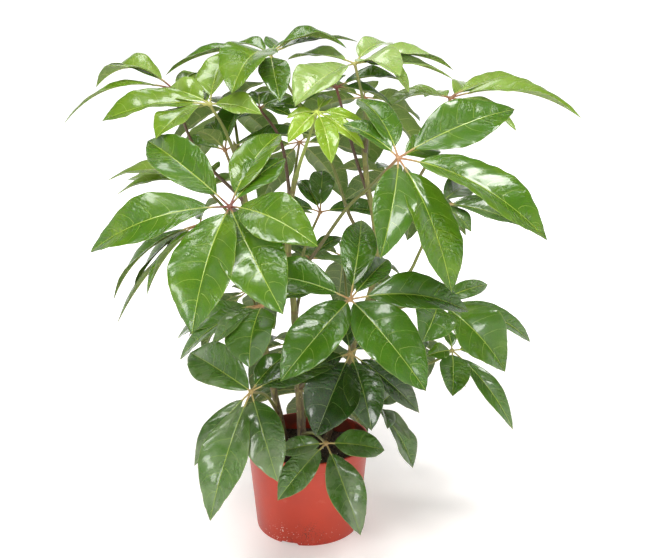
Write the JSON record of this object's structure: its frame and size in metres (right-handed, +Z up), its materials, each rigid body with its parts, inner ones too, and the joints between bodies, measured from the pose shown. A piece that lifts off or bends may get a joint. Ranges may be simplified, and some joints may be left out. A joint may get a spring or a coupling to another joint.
{
  "type": "potted umbrella plant",
  "caption": "Bushy umbrella plant with large palmate leaves on three stems, rooted in soil in a plain round nursery pot that stands on its flat bottom.",
  "frame": {"origin": "centre of the pot's flat bottom, on the surface that it stands on", "axes": "+Z up along the pot's axis, -Y towards the front, where the leaves face, +X to the right seen from the front"},
  "size_m": [0.9232, 0.7533, 0.9453],
  "materials": {
    "pot_plastic": "satin terracotta-coloured moulded plastic, dusted with soil near its foot",
    "potting_soil": "matte, dark and crumbly peat mix",
    "stem_skin": "matte green-brown bark with leaf scars",
    "leaf_green": "glossy, with pale veins above and a paler matte underside",
    "leaf_young": "glossy lime green"
  },
  "bodies": {
    "root": {"pot": "pot_plastic", "soil": "potting_soil", "stem_centre": "stem_skin", "stem_right": "stem_skin", "stem_left": "stem_skin", "leaf_front_left": "leaf_green", "leaf_front_right": "leaf_green", "leaf_front_middle": "leaf_green", "leaf_low_left": "leaf_green", "leaf_low_front": "leaf_green", "leaf_inner_front": "leaf_green", "leaf_inner_left": "leaf_green", "leaf_right": "leaf_green", "leaf_low_right": "leaf_green", "leaf_low_right_front": "leaf_green", "young_leaf": "leaf_young", "leaf_top_left": "leaf_green", "leaf_far_left": "leaf_green", "leaf_crown": "leaf_green", "leaf_top_right": "leaf_green", "leaf_top_middle": "leaf_green", "leaf_far_right": "leaf_green", "leaf_back_right": "leaf_green", "leaf_back_middle": "leaf_green", "leaf_inner_small": "leaf_green", "leaf_left": "leaf_green", "leaf_upper_left": "leaf_green", "leaf_lower_left": "leaf_green", "leaf_upper_middle": "leaf_green", "rear_leaf_low_right": "leaf_green", "rear_leaf_low_middle": "leaf_green", "rear_leaf_low_left": "leaf_green", "rear_leaf_middle": "leaf_green", "rear_leaf_left": "leaf_green", "rear_leaf_right": "leaf_green", "rear_leaf_upper_middle": "leaf_green", "rear_leaf_upper_left": "leaf_green", "rear_leaf_upper_right": "leaf_green", "rear_leaf_foot": "leaf_green"}
  },
  "joints": []
}
